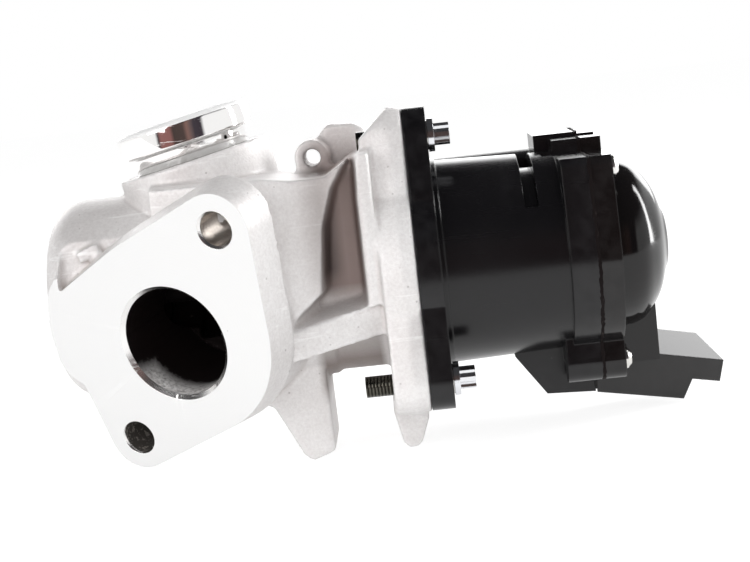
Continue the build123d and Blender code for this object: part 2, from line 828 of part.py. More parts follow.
def idler_gear():
    """Compound gear: the drive gear's partner, and the wheel that the pinion turns."""
    small_lead = to_idler + 180 + 180 / small_teeth
    small = prism(drive_gear_start, big_gear_start, gear_outline(small_teeth, small_lead))
    end = big_gear_start + big_gear_wide
    big = prism(big_gear_start, end, gear_outline(big_teeth, idler_to_motor))
    wheel = small + big - tube(end - 0.8, end + past, gear_module * big_teeth / 2 - 1.6, 2 * idler_pin_r + 0.8)
    wheel -= rod(drive_gear_start - past, end + past, idler_pin_r + slip)
    return Pos(0, idler_y, idler_z) * wheel


def idler_pin():
    return rod(gear_floor - 2 * idler_pin_seat, cover_floor + idler_pin_seat, idler_pin_r, idler_y, idler_z)


def motor_pinion():
    outline = gear_outline(pinion_teeth, idler_to_motor + 180 + 180 / pinion_teeth) - Circle(motor_shaft_r)
    return Pos(0, motor_y, motor_z) * prism(pinion_start, pinion_start + pinion_wide, outline)


# --------------------------------------------------------------------- motor

def motor_can():
    """Drawn can with a nose, open at the brush end."""
    can = rod(motor_start, motor_end, motor_r) + rod(motor_end, motor_end + motor_nose, motor_nose_r)
    can -= rod(motor_start - past, motor_end - motor_skin, motor_r - motor_skin)
    can -= rod(motor_start, motor_end + 2 * motor_nose, motor_shaft_r + slip)
    return Pos(0, motor_y, motor_z) * can


def motor_magnets():
    """Two shells inside the can."""
    bore = motor_r - motor_skin
    ring = tube(motor_start + 2 * brush_cap_thick, motor_end - 4, bore, bore - magnet_thick)
    split = Pos(motor_end / 2, 0, 0) * Box(2 * motor_end, 4 * motor_r, 4)
    return [Pos(0, motor_y, motor_z) * shell for shell in (ring - split).solids()]


def motor_brush_cap():
    cap = rod(motor_start, motor_start + brush_cap_thick, motor_r - motor_skin - seat_gap)
    cap += rod(motor_start - 2, motor_start, motor_nose_r)
    cap -= rod(motor_start - 3, motor_start + 2 * brush_cap_thick, motor_shaft_r + slip)
    return Pos(0, motor_y, motor_z) * cap


def motor_shaft():
    return rod(motor_start - 1, pinion_start + pinion_wide, motor_shaft_r, motor_y, motor_z)


def motor_armature():
    """Five-pole stack and its commutator."""
    poles = 5
    stack_r = motor_r - motor_skin - magnet_thick - air_gap
    stack_start = motor_start + 2 * brush_cap_thick + 2
    outline = Circle(stack_r)
    for pole in range(poles):
        outline -= Rot(0, 0, 360 / poles * pole) * Pos(stack_r, 0) * Rectangle(4.8, 1.2)
    stack = prism(stack_start, motor_end - 5, outline) + rod(stack_start - 3.8, stack_start, 3.0)
    stack -= rod(motor_start, motor_end, motor_shaft_r)
    return Pos(0, motor_y, motor_z) * stack


# --------------------------------------------------------------- gear cover

def dome(start, inset):
    """Dome about the stem from start to its tip, its curve moved inwards by inset."""
    high = dome_tip - inset - cover_face
    wide = dome_r - inset
    curve = [(cover_face + high * f, 0, wide * g) for f, g in dome_curve]
    crown = Spline(*curve, tangents=((1, 0, 0), (0, 0, -1)))
    base = Polyline(crown @ 1, (start, 0, 0), (start, 0, wide), crown @ 0)
    return revolve(make_face([crown, base]), Axis.X)


def connector_outside():
    """Plug body with an overhanging hood, cut off upright at its end."""
    under_hood = plug_thick - hood_thick
    shell = Pos(0, 0, under_hood) * corner_box(1.5 * plug_long, plug_wide, hood_thick)
    shell += corner_box(plug_long - plug_hood, plug_wide, under_hood + past)
    end_corner = plug_plane.from_local_coords((plug_long, 0, plug_thick))
    end_plane = Plane(origin=end_corner, z_dir=plug_plane.y_dir.cross(Vector(0, 0, 1)))
    beyond = Box(3 * plug_long, 3 * plug_long, plug_long, align=(Align.CENTER, Align.CENTER, Align.MIN))
    return plug_plane.location * shell - end_plane.location * beyond


def connector_socket():
    wide = plug_wide - 2 * plug_wall
    high = plug_thick - 2 * plug_wall
    room = Pos(plug_long - plug_deep, plug_wall, plug_wall) * corner_box(plug_long, wide, high)
    return plug_plane.location * room


def connector_pins():
    """Row of blades that stand in the socket's floor."""
    pitch = plug_wide / (pin_count + 1)
    blade = Box(pin_long, pin_wide, pin_thick, align=(Align.MIN, Align.CENTER, Align.CENTER))
    foot = plug_long - plug_deep - pin_sunk
    rows = [Pos(foot, pitch * (k + 1), plug_thick / 2) * blade for k in range(pin_count)]
    return [plug_plane.location * pin for pin in rows]


def connector():
    """Plug body where it clears the drive housing."""
    beside = prism(boss_start - past, seam_x, case_outline(loose))
    beside += prism(boss_start - past, seam_x, boss_outline(loose))
    beside += rod(0, skirt_end + loose, 4 * case_r)
    return connector_outside() - beside


def gear_cover():
    body = prism(seam_x, cover_face, case_outline())
    body += prism(seam_x, cover_face, boss_outline())
    body -= near_top_cut()
    body += side_profile(
        box_near, box_far,
        (seam_x, case_top - 5), (seam_x, box_top - box_step), (cover_face - 1, box_top - box_step),
        (cover_face - 1, case_top - 5))
    body += dome(cover_face - past, 0)
    body += side_profile(
        bracket_near, bracket_far,
        (cover_face - past, bracket_top), (bracket_end, bracket_top), (bracket_end, bracket_bottom),
        (cover_face - past, bracket_bottom))
    body += connector()
    body -= prism(seam_x - past, cover_floor, gear_room())
    body -= dome(cover_floor - past, dome_wall)
    body += tube(tube_mouth, dome_tip - dome_wall + 0.3, tube_r, journal_bush_r)
    body -= connector_socket()
    body -= rod(cover_floor - past, cover_floor + idler_pin_seat, idler_pin_r + seat_gap, idler_y, idler_z)
    for y, z in screw_spots:
        body -= rod(seam_x - past, cover_face + past, screw_r + slip, y, z)
    for pin in connector_pins():
        body -= pin
    return body


# ---------------------------------------------------------------- fasteners

def star():
    """Six-lobed outline of a bolt's head."""
    lobes = 6
    corners = []
    for lobe in range(lobes):
        for r, share in ((bolt_root_r, -0.36), (bolt_head_r, -0.2), (bolt_head_r, 0.2), (bolt_root_r, 0.36)):
            angle = 2 * pi * (lobe + share) / lobes
            corners.append((r * cos(angle), r * sin(angle)))
    return make_face(Polyline(*corners, close=True))


def flange_bolts():
    under_head = flange_thick + sleeve_proud
    bolts = []
    for (y, z), tip in zip(bolt_spots, bolt_tips):
        bolt = rod(tip, under_head, bolt_shank_r) + prism(under_head, under_head + bolt_head_long, star())
        bolt += rod(under_head, under_head + bolt_flange_thick, bolt_flange_r)
        bolts.append(Pos(0, y, z) * bolt)
    return bolts


def cover_screws():
    """Pan-head screws that hold the cover."""
    top = cover_face + screw_head_thick
    screw = rod(screw_tip + loose, cover_face, screw_r)
    screw += turned(
        (cover_face, 0), (cover_face, screw_head_r), (top - screw_crown, screw_head_r - screw_taper),
        (top, screw_head_r - screw_crown - screw_taper), (top, 0))
    return [Pos(0, y, z) * screw for y, z in screw_spots]


# --------------------------------------------------------------------- build

pieces = [
    valve_body, outlet_spigot, end_cap, valve_seat, stem_bush, stem_seal,
    poppet, follower_pin, retainer_clip, spring_retainer, return_spring,
    actuator_housing, cover_seal, flange_seal, bolt_sleeves, guide_sleeve,
    drive_gear, cam_barrel, sensor_magnet, shaft_bush, idler_gear, idler_pin,
    motor_pinion, motor_can, motor_magnets, motor_brush_cap, motor_shaft, motor_armature,
    gear_cover, connector_pins, position_sensor, flange_bolts, cover_screws,
]

for make in pieces:
    made = make()
    shapes = made if isinstance(made, list) else [made]
    save(make.__name__, [solid for shape in shapes for solid in shape.solids()])
    print(make.__name__)
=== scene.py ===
# %% [markdown]
# # Exhaust gas recirculation valve
# The valve is a rough aluminium casting bolted to a smooth black drive. The solids come from a CAD
# model, which fixes every size. This file gives them their looks: rounded casting edges, machined
# faces, polished steel and moulded plastic. It starts by loading the solids as a fixed frame.

# %% Load the frame
import json
from collections import Counter
from math import cos, pi, radians, sin
from random import Random

import bmesh
import bpy
from mathutils import Matrix, Vector


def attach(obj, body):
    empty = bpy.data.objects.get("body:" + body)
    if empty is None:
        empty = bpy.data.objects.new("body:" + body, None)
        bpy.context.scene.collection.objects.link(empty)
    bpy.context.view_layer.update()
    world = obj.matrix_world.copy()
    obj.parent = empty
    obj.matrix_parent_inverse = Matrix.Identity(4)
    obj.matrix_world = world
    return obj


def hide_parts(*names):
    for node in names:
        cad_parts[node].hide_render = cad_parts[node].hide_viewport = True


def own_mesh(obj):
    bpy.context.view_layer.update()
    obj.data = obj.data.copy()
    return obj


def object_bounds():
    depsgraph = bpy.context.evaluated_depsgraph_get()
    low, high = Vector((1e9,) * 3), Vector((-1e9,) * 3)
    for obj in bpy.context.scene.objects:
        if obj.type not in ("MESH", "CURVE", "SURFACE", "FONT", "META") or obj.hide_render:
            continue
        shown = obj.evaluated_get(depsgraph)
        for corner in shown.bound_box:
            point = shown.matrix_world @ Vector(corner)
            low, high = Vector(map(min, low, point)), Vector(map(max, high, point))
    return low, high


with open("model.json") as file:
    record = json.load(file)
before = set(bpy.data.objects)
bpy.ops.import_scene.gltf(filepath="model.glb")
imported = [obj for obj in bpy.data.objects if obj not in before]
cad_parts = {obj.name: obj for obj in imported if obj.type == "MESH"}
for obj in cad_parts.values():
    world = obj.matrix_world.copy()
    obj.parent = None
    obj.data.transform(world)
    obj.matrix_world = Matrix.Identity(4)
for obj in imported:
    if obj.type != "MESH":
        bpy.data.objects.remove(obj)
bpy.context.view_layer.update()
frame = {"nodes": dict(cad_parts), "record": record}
nodes = frame["nodes"]

# %% [markdown]
# ## Units and landmarks
# Lengths are written in millimetres, as on a drawing, and turned into metres by one factor. The
# stem axis, the inlet face and the outlet ring are the three places that most pieces hang on.

# %% Landmarks
MM = 0.001
STEM_Y = 29.436 * MM
STEM_Z = 8.059 * MM
JOINT_X = 57.2 * MM
ALONG_STEM = Vector((1, 0, 0))
INLET_OUT = Vector((-0.417083, -0.886346, -0.201078))
INLET_FACE = INLET_OUT * 1.2 * MM
OUTLET_UP = Vector((-0.209619, 0.0, 0.977783))
OUTLET_CENTRE = Vector((5.4995, 29.436, 40.059)) * MM
inward = -INLET_OUT


def on_stem(x):
    """Point of the stem axis, x millimetres from the joint of body and drive."""
    return Vector((JOINT_X + x * MM, STEM_Y, STEM_Z))


print("joint at", on_stem(0))

# %% [markdown]
# ## The camera
# A product shot is taken from some way off with a longish lens, so that round things stay round.
# The camera looks slightly down on the part and is rolled a little, which makes the stem axis
# slope. Its turn is worked out from the angles, not dragged by eye; its place is given.

# %% Camera
AZIMUTH = radians(1.9)
ELEVATION = radians(8.0)
ROLL = radians(6.4)
CAMERA_PLACE = Vector((59.46, -367.23, 60.76)) * MM

right = Vector((cos(AZIMUTH), sin(AZIMUTH), 0))
forward = Vector((-sin(AZIMUTH) * cos(ELEVATION), cos(AZIMUTH) * cos(ELEVATION), -sin(ELEVATION)))
up = right.cross(forward)
rolled_right = right * cos(ROLL) - up * sin(ROLL)
rolled_up = right * sin(ROLL) + up * cos(ROLL)

camera_data = bpy.data.cameras.new("camera")
camera_data.sensor_width = 36
camera_data.lens = 77.8
camera_data.clip_start = 0.01
camera = bpy.data.objects.new("camera", camera_data)
bpy.context.collection.objects.link(camera)
turn = Matrix((rolled_right, rolled_up, -forward)).transposed()
camera.matrix_world = Matrix.Translation(CAMERA_PLACE) @ turn.to_4x4()
bpy.context.scene.camera = camera
print("camera at", [round(v, 3) for v in CAMERA_PLACE])

# %% [markdown]
# ## Small node helpers
# Materials are graphs of nodes. A few short helpers keep the recipes readable: they add a node with
# its values, feed a socket, and do the small sums, ramps and mixes that every recipe needs.

# %% Node helpers
def add(tree, kind, **values):
    """Add a node; plain values go to its settings by name, or else to its sockets."""
    node = tree.nodes.new(kind)
    for name, value in values.items():
        if hasattr(node, name):
            setattr(node, name, value)
        else:
            node.inputs[name.replace("_", " ")].default_value = value
    return node


def join(tree, source, target):
    """Feed a socket from another socket, or give it a plain value or colour."""
    if isinstance(source, bpy.types.NodeSocket):
        tree.links.new(source, target)
    elif isinstance(source, tuple):
        target.default_value = source + (1.0,)
    else:
        target.default_value = source


def maths(tree, operation, *values, clamp=False):
    """One sum over sockets or plain values. Gives the result's socket."""
    node = add(tree, "ShaderNodeMath", operation=operation, use_clamp=clamp)
    for value, socket in zip(values, node.inputs):
        join(tree, value, socket)
    return node.outputs["Value"]


def remap(tree, source, low, high, out_low=0.0, out_high=1.0):
    """Turn the range low to high into another one, and stop at its ends."""
    node = add(tree, "ShaderNodeMapRange", From_Min=low, From_Max=high, To_Min=out_low, To_Max=out_high)
    join(tree, source, node.inputs["Value"])
    return node.outputs["Result"]


def blend_colours(tree, factor, first, second, kind="MIX"):
    """Mix two colours. Factor, first and second are sockets or plain values."""
    node = add(tree, "ShaderNodeMix", data_type="RGBA", blend_type=kind)
    join(tree, factor, node.inputs["Factor"])
    join(tree, first, node.inputs[6])
    join(tree, second, node.inputs[7])
    return node.outputs[2]


def object_place(tree):
    """Where a point lies in its own object, so that a pattern rides with the piece."""
    return add(tree, "ShaderNodeTexCoord").outputs["Object"]


def axes_of(tree, vector):
    """The X, Y and Z sockets of a vector."""
    split = add(tree, "ShaderNodeSeparateXYZ")
    join(tree, vector, split.inputs["Vector"])
    return split.outputs


def noise(tree, place, scale, detail=2.0, roughness=0.5):
    """Cloudy noise; the scale is a socket or a number of features a metre."""
    node = add(tree, "ShaderNodeTexNoise", Detail=detail, Roughness=roughness)
    join(tree, place, node.inputs["Vector"])
    join(tree, scale, node.inputs["Scale"])
    return node.outputs["Fac"]


def cell_distance(tree, place, scale):
    """Distance from the middle of the nearest cell."""
    node = add(tree, "ShaderNodeTexVoronoi", Scale=scale)
    join(tree, place, node.inputs["Vector"])
    return node.outputs["Distance"]


def new_group(name, inputs, outputs):
    """Empty shader group with named float inputs and outputs."""
    tree = bpy.data.node_groups.new(name, "ShaderNodeTree")
    for label, default in inputs:
        socket = tree.interface.new_socket(label, in_out="INPUT", socket_type="NodeSocketFloat")
        socket.default_value = default
    for label in outputs:
        tree.interface.new_socket(label, in_out="OUTPUT", socket_type="NodeSocketFloat")
    return tree, tree.nodes.new("NodeGroupInput").outputs, tree.nodes.new("NodeGroupOutput").inputs


def place_group(tree, group, **values):
    """Use a shared group in a material. Gives the group's output sockets."""
    node = tree.nodes.new("ShaderNodeGroup")
    node.node_tree = group
    for name, value in values.items():
        node.inputs[name.replace("_", " ")].default_value = value
    return node.outputs


print("node helpers ready")

# %% [markdown]
# ## Shared effect: casting skin
# Die-cast aluminium is never quite even. It has a fine pebbled skin, broad cloudy patches where
# the metal cooled at different rates, and tiny pits. One noise at each of these sizes makes the
# effect, and the group puts out a mottle, a pit mask and a height.

# %% Casting skin group
skin, skin_in, skin_out = new_group(
    "casting skin", [("Patch size", 60.0), ("Grain size", 1500.0), ("Pits", 0.5)],
    ["Mottle", "Pit", "Height"])
place = object_place(skin)
patches = noise(skin, place, skin_in["Patch size"], 5.0, 0.6)
grain = noise(skin, place, skin_in["Grain size"], 3.0, 0.65)
pit = remap(skin, cell_distance(skin, place, 420.0), 0.02, 0.14, 1.0, 0.0)
few = remap(skin, noise(skin, place, 160.0, 1.0), 0.56, 0.64)
pit_level = maths(skin, "MULTIPLY", maths(skin, "MULTIPLY", pit, few), skin_in["Pits"])
join(skin, patches, skin_out["Mottle"])
join(skin, pit_level, skin_out["Pit"])
join(skin, maths(skin, "SUBTRACT", grain, pit_level), skin_out["Height"])
print("group:", skin.name)

# %% [markdown]
# ## Shared effect: rubbed edges
# Edges that stick out are the first to be handled and rubbed bright, and hollows are made darker.
# The pointiness of the mesh tells both apart. A little noise breaks the line up, so that the wear
# isn't a drawn outline.

# %% Rubbed edges group
rubbed, rubbed_in, rubbed_out = new_group(
    "rubbed edges", [("Width", 0.5), ("Breakup", 300.0)], ["Edge", "Hollow"])
pointiness = add(rubbed, "ShaderNodeNewGeometry").outputs["Pointiness"]
edge = remap(rubbed, pointiness, 0.51, 0.58)
patchy = remap(rubbed, noise(rubbed, object_place(rubbed), rubbed_in["Breakup"], 3.0), 0.35, 0.65)
worn = maths(rubbed, "MULTIPLY", maths(rubbed, "MULTIPLY", edge, patchy), rubbed_in["Width"])
join(rubbed, worn, rubbed_out["Edge"])
join(rubbed, remap(rubbed, pointiness, 0.49, 0.42), rubbed_out["Hollow"])
print("group:", rubbed.name)

# %% [markdown]
# ## Shared effect: handling marks
# Smooth plastic and polished metal show hair scratches and specks of dust in their gloss. Noise
# that is stretched far along one direction draws scratches, and a thresholded cell pattern drops
# the specks.

# %% Handling marks group
marks, marks_in, marks_out = new_group(
    "handling marks", [("Scratch size", 90.0), ("Dust", 0.5)], ["Scratch", "Speck", "Haze"])
place = object_place(marks)
stretch = add(marks, "ShaderNodeMapping", Scale=(0.35, 2.0, 9.0), Rotation=(0.5, 0.2, 0.3))
join(marks, place, stretch.inputs["Vector"])
lines = noise(marks, stretch.outputs["Vector"], marks_in["Scratch size"], 6.0, 0.7)
speck = remap(marks, cell_distance(marks, place, 230.0), 0.012, 0.05, 1.0, 0.0)
some = remap(marks, noise(marks, place, 95.0), 0.60, 0.62)
dust = maths(marks, "MULTIPLY", maths(marks, "MULTIPLY", speck, some), marks_in["Dust"])
join(marks, remap(marks, lines, 0.60, 0.66), marks_out["Scratch"])
join(marks, dust, marks_out["Speck"])
join(marks, noise(marks, place, 45.0, 4.0), marks_out["Haze"])
print("group:", marks.name)

# %% [markdown]
# ## Soft edges for shading
# Every moulded or machined edge has a small radius that catches a line of light. On the solids
# that keep their sharp CAD edges, a Bevel node bends the shading normal near each edge, which
# costs no geometry. A Bump node then lays the fine texture over it.

# %% Surface helpers
def surface(name, edge_radius, bump_distance, **constants):
    """New material with a soft-edged, bumped Principled shader, and the shader's constants."""
    material = bpy.data.materials.new(name)
    material.use_nodes = True
    tree = material.node_tree
    tree.nodes.clear()
    output = add(tree, "ShaderNodeOutputMaterial")
    shader = add(tree, "ShaderNodeBsdfPrincipled", **constants)
    soft = add(tree, "ShaderNodeBevel", samples=4, Radius=edge_radius * MM)
    bump = add(tree, "ShaderNodeBump", Strength=1.0, Distance=bump_distance * MM)
    join(tree, soft.outputs["Normal"], bump.inputs["Normal"])
    join(tree, bump.outputs["Normal"], shader.inputs["Normal"])
    join(tree, shader.outputs["BSDF"], output.inputs["Surface"])
    return material, tree, shader.inputs, bump.inputs["Height"]


def scratched_gloss(tree, hairs, roughness, spread, scratch):
    """Roughness that wanders with the haze by a share, and is higher in a scratch."""
    rough = remap(tree, hairs["Haze"], 0.3, 0.7, roughness * (1 - spread), roughness * (1 + spread))
    return maths(tree, "MULTIPLY_ADD", hairs["Scratch"], scratch, rough)


print("surface helpers ready")

# %% [markdown]
# ## Painted shade on the casting
# The pocket beside the neck, its steep wall and the corner under the neck are coloured darker and
# brownish, as painted shade where little light reaches. Each place is a soft box: a mask that
# rises and falls along each of the three axes.

# %% Painted shade places of the casting
# Each place gives, for x, y and z, where it starts, is full, is still full and ends (millimetres
# from the joint along the stem, and from the stem's axis).
POCKET = ((-27.0, -20.5, -12.8, -11.0), (-31.0, -18.0, 0.0, 5.0), (-6.0, -1.0, 24.0, 40.0))
POCKET_WALL = ((-26.0, -21.5, -20.5, -16.5), (-30.0, -20.0, 0.0, 5.0), (-4.0, 3.0, 22.0, 34.0))
UNDER_NECK = ((-26.5, -24.0, -11.0, -8.8), (-26.0, -14.0, 14.0, 26.0), (-30.0, -25.0, -9.0, -5.5))
# Painted shade: these colours darken the casting in the pocket, on its wall and under the neck.
PAINTED_SHADE_PLACES = (
    (UNDER_NECK, (0.24, 0.20, 0.185)),
    (POCKET, (0.36, 0.285, 0.265)),
    (POCKET_WALL, (0.10, 0.08, 0.075)))


def region(tree, limits):
    """Soft mask of a box in the casting."""
    axes = axes_of(tree, object_place(tree))
    steps = []
    for axis, zero, (start, full, still, end) in zip("XYZ", (JOINT_X, STEM_Y, STEM_Z), limits):
        steps.append(remap(tree, axes[axis], zero + start * MM, zero + full * MM))
        steps.append(remap(tree, axes[axis], zero + still * MM, zero + end * MM, 1.0, 0.0))
    mask = steps[0]
    for step in steps[1:]:
        mask = maths(tree, "MULTIPLY", mask, step)
    return mask


print("painted shade places:", len(PAINTED_SHADE_PLACES))

# %% [markdown]
# ## Finish: cast aluminium
# The body comes out of a die and is only blasted clean. Its skin is a pale, slightly warm grey,
# duller than machined metal, with fine grain, cloudy patches and a few pits. Edges that get
# handled are a little brighter, and corners hold some grey. The pocket, its wall and the corner
# under the neck take painted shade.

# %% Cast aluminium
def cast_aluminium():
    material, tree, shader, height = surface("cast aluminium", 0.5, 0.10, Metallic=0.40)
    texture = place_group(tree, skin, Patch_size=38.0, Grain_size=1300.0, Pits=0.55)
    wear = place_group(tree, rubbed, Width=0.6, Breakup=260.0)
    scuffs = place_group(tree, marks, Scratch_size=55.0, Dust=0.9)
    patch = remap(tree, texture["Mottle"], 0.3, 0.7)
    metal = blend_colours(tree, patch, (0.74, 0.715, 0.707), (0.92, 0.91, 0.905))
    fine = remap(tree, texture["Height"], 0.3, 0.7)
    grained = blend_colours(tree, fine, (0.88, 0.87, 0.87), (1.0, 1.0, 1.0))
    metal = blend_colours(tree, 1.0, metal, grained, "MULTIPLY")
    scuff = remap(tree, scuffs["Scratch"], 0.0, 1.0, 0.0, 0.5)
    layers = [
        (texture["Pit"], (0.28, 0.25, 0.24)), (wear["Hollow"], (0.55, 0.50, 0.48)),
        (wear["Edge"], (0.95, 0.945, 0.94)), (scuffs["Speck"], (0.30, 0.26, 0.24)),
        (scuff, (0.97, 0.965, 0.96))]
    # Painted shade in the pocket, on its wall and under the neck.
    layers += [(region(tree, limits), colour) for limits, colour in PAINTED_SHADE_PLACES]
    for mask, colour in layers:
        metal = blend_colours(tree, mask, metal, colour)
    join(tree, metal, shader["Base Color"])
    join(tree, remap(tree, texture["Mottle"], 0.3, 0.7, 0.46, 0.60), shader["Roughness"])
    join(tree, texture["Height"], height)
    return material


casting_finish = cast_aluminium()
print("material:", casting_finish.name)

# %% [markdown]
# ## Finish: machined aluminium
# The inlet face and the bores are cut after casting. A milling cutter leaves faint arcs, and the
# fresh metal is almost white. The arcs are a stretched ring pattern, kept very shallow, because a
# sealing face is smooth to the touch.

# %% Machined aluminium
def machined_aluminium():
    material, tree, shader, height = surface("machined aluminium", 0.2, 0.001, Metallic=0.2)
    rings = add(tree, "ShaderNodeTexWave", wave_type="RINGS", rings_direction="SPHERICAL",
                Scale=420.0, Distortion=1.2, Detail=2.0)
    join(tree, object_place(tree), rings.inputs["Vector"])
    hairs = place_group(tree, marks, Scratch_size=60.0, Dust=0.7)
    metal = blend_colours(tree, rings.outputs["Fac"], (0.822, 0.820, 0.817), (0.828, 0.826, 0.823))
    metal = blend_colours(tree, hairs["Speck"], metal, (0.30, 0.28, 0.27))
    join(tree, metal, shader["Base Color"])
    join(tree, remap(tree, hairs["Scratch"], 0.0, 1.0, 0.42, 0.52), shader["Roughness"])
    join(tree, rings.outputs["Fac"], height)
    return material


machined_finish = machined_aluminium()
print("material:", machined_finish.name)

# %% [markdown]
# ## Finish: sooted metal
# Everything that the exhaust gas touches goes black after a test run: the inlet bore, the mixing
# room and the valve in it. Soot is a dull brown-black with paler crumbs where the metal shows
# through. The crumbs are a noise that is cut off high, so that they stay few and ragged. The inlet's
# mouth shows bare cut metal only low down and near the face. Its upper wall is painted shade, and
# the deeper bore is soot with painted shade.

# %% Sooted metal
SOOT = (0.007, 0.0045, 0.0045)
# Where the soot colour comes in: with depth, where it is soot and painted shade, and above a height, where
# it is painted shade.
SOOT_AND_SHADE_DEPTH = (2.5, 9.0)
PAINTED_SHADE_HEIGHT = (-9.5, -4.0)


def dull_coat(name, bump_distance, grain_size, pits, rough_low, rough_high):
    """Dull pitted metal, still without a colour. Gives what a recipe needs to add one."""
    material, tree, shader, height = surface(
        name, 0.2, bump_distance, Metallic=0.2, Specular_IOR_Level=0.2)
    texture = place_group(tree, skin, Patch_size=90.0, Grain_size=grain_size, Pits=pits)
    join(tree, remap(tree, texture["Mottle"], 0.3, 0.7, rough_low, rough_high), shader["Roughness"])
    join(tree, texture["Height"], height)
    return material, tree, shader["Base Color"], texture["Height"]


def sooted_metal(name, black, bare, amount):
    """Soot with crumbs of paler metal; the amount is their share of the noise's range."""
    material, tree, colour, height = dull_coat(name, 0.05, 900.0, 0.4, 0.70, 0.90)
    crumbs = remap(tree, height, 1.0 - amount, 1.05 - amount)
    join(tree, blend_colours(tree, crumbs, black, bare), colour)
    return material


def inlet_bore_metal():
    """Bare cut metal low in the inlet's mouth; painted shade above it, and soot with painted shade deeper in
    the bore.
    """
    material, tree, colour, height = dull_coat("inlet bore", 0.03, 1100.0, 0.6, 0.45, 0.65)
    where = object_place(tree)
    depth = add(tree, "ShaderNodeVectorMath", operation="DOT_PRODUCT")
    join(tree, where, depth.inputs[0])
    depth.inputs[1].default_value = inward
    mouth = INLET_FACE.dot(inward)
    # Painted shade on the upper wall, and soot with painted shade deeper in the bore.
    deep_soot_and_shade = remap(tree, depth.outputs["Value"], mouth + SOOT_AND_SHADE_DEPTH[0] * MM, mouth + SOOT_AND_SHADE_DEPTH[1] * MM)
    upper_painted_shade = remap(tree, axes_of(tree, where)["Z"], PAINTED_SHADE_HEIGHT[0] * MM, PAINTED_SHADE_HEIGHT[1] * MM)
    ragged = remap(tree, height, 0.2, 0.6, 0.94, 1.3)
    soot_and_shade_mask = maths(tree, "MULTIPLY", maths(tree, "MAXIMUM", deep_soot_and_shade, upper_painted_shade), ragged, clamp=True)
    speckle = remap(tree, height, 0.25, 0.6)
    bare = blend_colours(tree, speckle, (0.22, 0.20, 0.195), (0.85, 0.83, 0.82))
    join(tree, blend_colours(tree, soot_and_shade_mask, bare, SOOT), colour)
    return material


bore_finish = sooted_metal("sooted bore", SOOT, (0.05, 0.04, 0.038), 0.36)
mouth_finish = inlet_bore_metal()
# The drilled bolt hole lies off the gas way; its near-black soot colour is painted shade.
painted_shade_hole_finish = sooted_metal("drilled hole", (0.045, 0.040, 0.036), (0.16, 0.145, 0.13), 0.45)
print("materials:", bore_finish.name, mouth_finish.name, painted_shade_hole_finish.name)

# %% [markdown]
# ## Finish: turned and polished steels
# The ring, the valve, the bolts and the spring are all steel, but not alike: the ring is polished
# like a mirror, bolts are plated and slightly yellow, and the spring is dark from its heat
# treatment. One recipe takes the colour and the roughness, and the marks of handling break up
# the gloss.

# %% Steels
def steel(name, dark, light, roughness):
    material, tree, shader, height = surface(name, 0.25, 0.01, Metallic=1.0)
    hairs = place_group(tree, marks, Scratch_size=70.0, Dust=0.6)
    wear = place_group(tree, rubbed, Width=0.5, Breakup=400.0)
    metal = blend_colours(tree, remap(tree, hairs["Haze"], 0.3, 0.7), dark, light)
    metal = blend_colours(tree, hairs["Speck"], metal, (0.12, 0.10, 0.09))
    metal = blend_colours(tree, wear["Hollow"], metal, tuple(0.6 * c for c in dark))
    join(tree, metal, shader["Base Color"])
    join(tree, scratched_gloss(tree, hairs, roughness, 0.20, 0.15), shader["Roughness"])
    join(tree, hairs["Scratch"], height)
    return material


steels = {
    "polished_steel": steel("polished steel", (0.88, 0.87, 0.86), (0.93, 0.92, 0.91), 0.06),
    "cut_edge": steel("fresh cut edge", (0.74, 0.73, 0.72), (0.86, 0.85, 0.84), 0.22),
    "tapped": steel("tapped metal", (0.34, 0.30, 0.27), (0.55, 0.51, 0.47), 0.34),
    "hard_steel": steel("hard steel", (0.42, 0.41, 0.40), (0.52, 0.51, 0.50), 0.28),
    "plated_steel": steel("plated steel", (0.62, 0.61, 0.585), (0.74, 0.73, 0.71), 0.20),
    "pressed_steel": steel("pressed steel", (0.50, 0.49, 0.47), (0.60, 0.59, 0.57), 0.33),
    "spring_steel": steel("spring steel", (0.20, 0.19, 0.185), (0.30, 0.29, 0.28), 0.30),
    "armature_iron": steel("armature iron", (0.24, 0.23, 0.225), (0.33, 0.32, 0.31), 0.42),
    "magnet": steel("magnet", (0.10, 0.10, 0.105), (0.15, 0.15, 0.155), 0.45),
    "bronze": steel("bronze", (0.50, 0.33, 0.16), (0.62, 0.42, 0.22), 0.30),
    "brass": steel("brass", (0.66, 0.50, 0.22), (0.76, 0.60, 0.30), 0.24),
}
print("steels and their kin:", len(steels))

# %% [markdown]
# ## Finish: moulded plastics and rubber
# The drive is glass-filled black nylon. The fine texture of the mould makes the housing satin,
# while the cover is polished and almost like piano lacquer. The recipe takes the two colours
# between which the haze wanders, the gloss, and how deep the mould texture is.

# %% Plastics
def plastic(name, dark, light, roughness, texture_depth, edge_radius=0.5):
    material, tree, shader, height = surface(name, edge_radius, texture_depth, Specular_IOR_Level=0.40)
    hairs = place_group(tree, marks, Scratch_size=85.0, Dust=0.8)
    wear = place_group(tree, rubbed, Width=0.35, Breakup=350.0)
    body = blend_colours(tree, remap(tree, hairs["Haze"], 0.3, 0.7), dark, light)
    body = blend_colours(tree, wear["Edge"], body, tuple(1.8 * c + 0.01 for c in light))
    body = blend_colours(tree, hairs["Speck"], body, (0.32, 0.31, 0.30))
    join(tree, body, shader["Base Color"])
    join(tree, scratched_gloss(tree, hairs, roughness, 0.15, 0.04), shader["Roughness"])
    join(tree, noise(tree, object_place(tree), 900.0), height)
    return material


